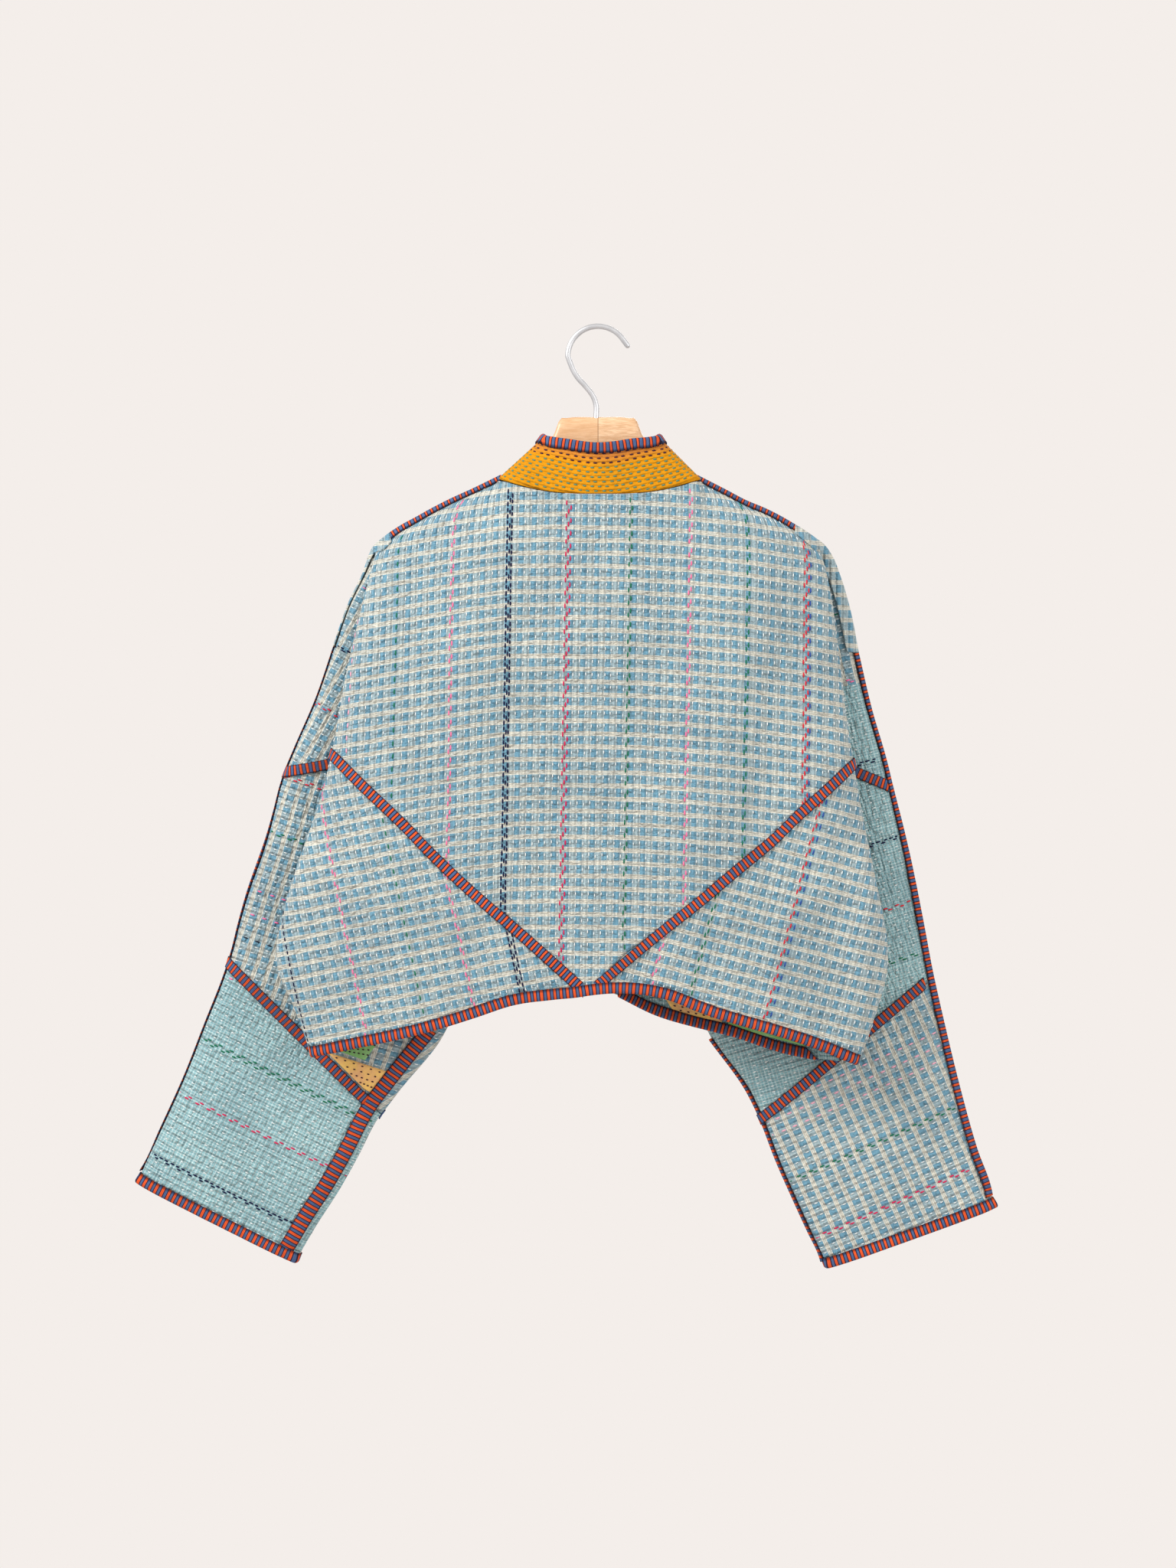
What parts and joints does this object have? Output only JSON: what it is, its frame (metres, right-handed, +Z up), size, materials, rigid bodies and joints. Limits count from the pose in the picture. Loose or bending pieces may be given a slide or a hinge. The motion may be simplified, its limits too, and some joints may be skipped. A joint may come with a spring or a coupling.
{
  "type": "patched jacket on a wooden hanger",
  "caption": "Short quilted patchwork jacket with striped bias bindings and a stand collar, hung flat on a wooden hanger with a wire hook.",
  "frame": {"origin": "the inside top of the hanger's hook, where a pin or rail carries it", "axes": "+Z up, +X to the viewer's right when looking at the garment's back, +Y towards the wall and the garment's front; its back faces -Y"},
  "size_m": [0.819, 0.0919, 0.8935],
  "materials": {
    "back_yoke": "quilted cotton, matte",
    "back_lower_left": "quilted cotton, matte",
    "back_lower_right": "quilted cotton, matte",
    "front_yoke_left": "quilted cotton, matte",
    "front_yoke_right": "quilted cotton, matte",
    "front_lower_left": "quilted cotton, matte",
    "front_lower_right": "quilted cotton, matte",
    "sleeve_back_upper_left": "quilted cotton, matte",
    "sleeve_back_upper_right": "quilted cotton, matte",
    "sleeve_back_middle_left": "quilted cotton, matte",
    "sleeve_back_middle_right": "quilted cotton, matte",
    "sleeve_back_cuff_left": "quilted cotton, matte",
    "sleeve_back_cuff_right": "quilted cotton, matte",
    "sleeve_front_upper_left": "quilted cotton, matte",
    "sleeve_front_upper_right": "quilted cotton, matte",
    "sleeve_front_middle_left": "quilted cotton, matte",
    "sleeve_front_middle_right": "quilted cotton, matte",
    "sleeve_front_cuff_left": "quilted cotton, matte",
    "sleeve_front_cuff_right": "quilted cotton, matte",
    "collar": "quilted cotton, matte",
    "binding_collar": "woven striped cotton, matte",
    "binding_hem_back": "woven striped cotton, matte",
    "binding_v_left": "woven striped cotton, matte",
    "binding_front_seam_left": "woven striped cotton, matte",
    "binding_hem_front_left": "woven striped cotton, matte",
    "binding_front_left": "woven striped cotton, matte",
    "binding_shoulder_left": "woven striped cotton, matte",
    "binding_under_left": "woven striped cotton, matte",
    "binding_midarm_back_left": "woven striped cotton, matte",
    "binding_midarm_front_left": "woven striped cotton, matte",
    "binding_elbow_back_left": "woven striped cotton, matte",
    "binding_elbow_front_left": "woven striped cotton, matte",
    "binding_cuff_left": "woven striped cotton, matte",
    "binding_v_right": "woven striped cotton, matte",
    "binding_front_seam_right": "woven striped cotton, matte",
    "binding_hem_front_right": "woven striped cotton, matte",
    "binding_front_right": "woven striped cotton, matte",
    "binding_shoulder_right": "woven striped cotton, matte",
    "binding_under_right": "woven striped cotton, matte",
    "binding_midarm_back_right": "woven striped cotton, matte",
    "binding_midarm_front_right": "woven striped cotton, matte",
    "binding_elbow_back_right": "woven striped cotton, matte",
    "binding_elbow_front_right": "woven striped cotton, matte",
    "binding_cuff_right": "woven striped cotton, matte",
    "hanger_bar": "clear lacquered, satin",
    "hanger_hook": "satin"
  },
  "bodies": {
    "root": {"back_yoke": "back_yoke", "back_lower_left": "back_lower_left", "back_lower_right": "back_lower_right", "front_yoke_left": "front_yoke_left", "front_yoke_right": "front_yoke_right", "front_lower_left": "front_lower_left", "front_lower_right": "front_lower_right", "sleeve_back_upper_left": "sleeve_back_upper_left", "sleeve_back_upper_right": "sleeve_back_upper_right", "sleeve_back_middle_left": "sleeve_back_middle_left", "sleeve_back_middle_right": "sleeve_back_middle_right", "sleeve_back_cuff_left": "sleeve_back_cuff_left", "sleeve_back_cuff_right": "sleeve_back_cuff_right", "sleeve_front_upper_left": "sleeve_front_upper_left", "sleeve_front_upper_right": "sleeve_front_upper_right", "sleeve_front_middle_left": "sleeve_front_middle_left", "sleeve_front_middle_right": "sleeve_front_middle_right", "sleeve_front_cuff_left": "sleeve_front_cuff_left", "sleeve_front_cuff_right": "sleeve_front_cuff_right", "collar": "collar", "binding_collar": "binding_collar", "binding_hem_back": "binding_hem_back", "binding_v_left": "binding_v_left", "binding_front_seam_left": "binding_front_seam_left", "binding_hem_front_left": "binding_hem_front_left", "binding_front_left": "binding_front_left", "binding_shoulder_left": "binding_shoulder_left", "binding_under_left": "binding_under_left", "binding_midarm_back_left": "binding_midarm_back_left", "binding_midarm_front_left": "binding_midarm_front_left", "binding_elbow_back_left": "binding_elbow_back_left", "binding_elbow_front_left": "binding_elbow_front_left", "binding_cuff_left": "binding_cuff_left", "binding_v_right": "binding_v_right", "binding_front_seam_right": "binding_front_seam_right", "binding_hem_front_right": "binding_hem_front_right", "binding_front_right": "binding_front_right", "binding_shoulder_right": "binding_shoulder_right", "binding_under_right": "binding_under_right", "binding_midarm_back_right": "binding_midarm_back_right", "binding_midarm_front_right": "binding_midarm_front_right", "binding_elbow_back_right": "binding_elbow_back_right", "binding_elbow_front_right": "binding_elbow_front_right", "binding_cuff_right": "binding_cuff_right", "hanger_bar": "hanger_bar", "hanger_hook": "hanger_hook"}
  },
  "joints": []
}
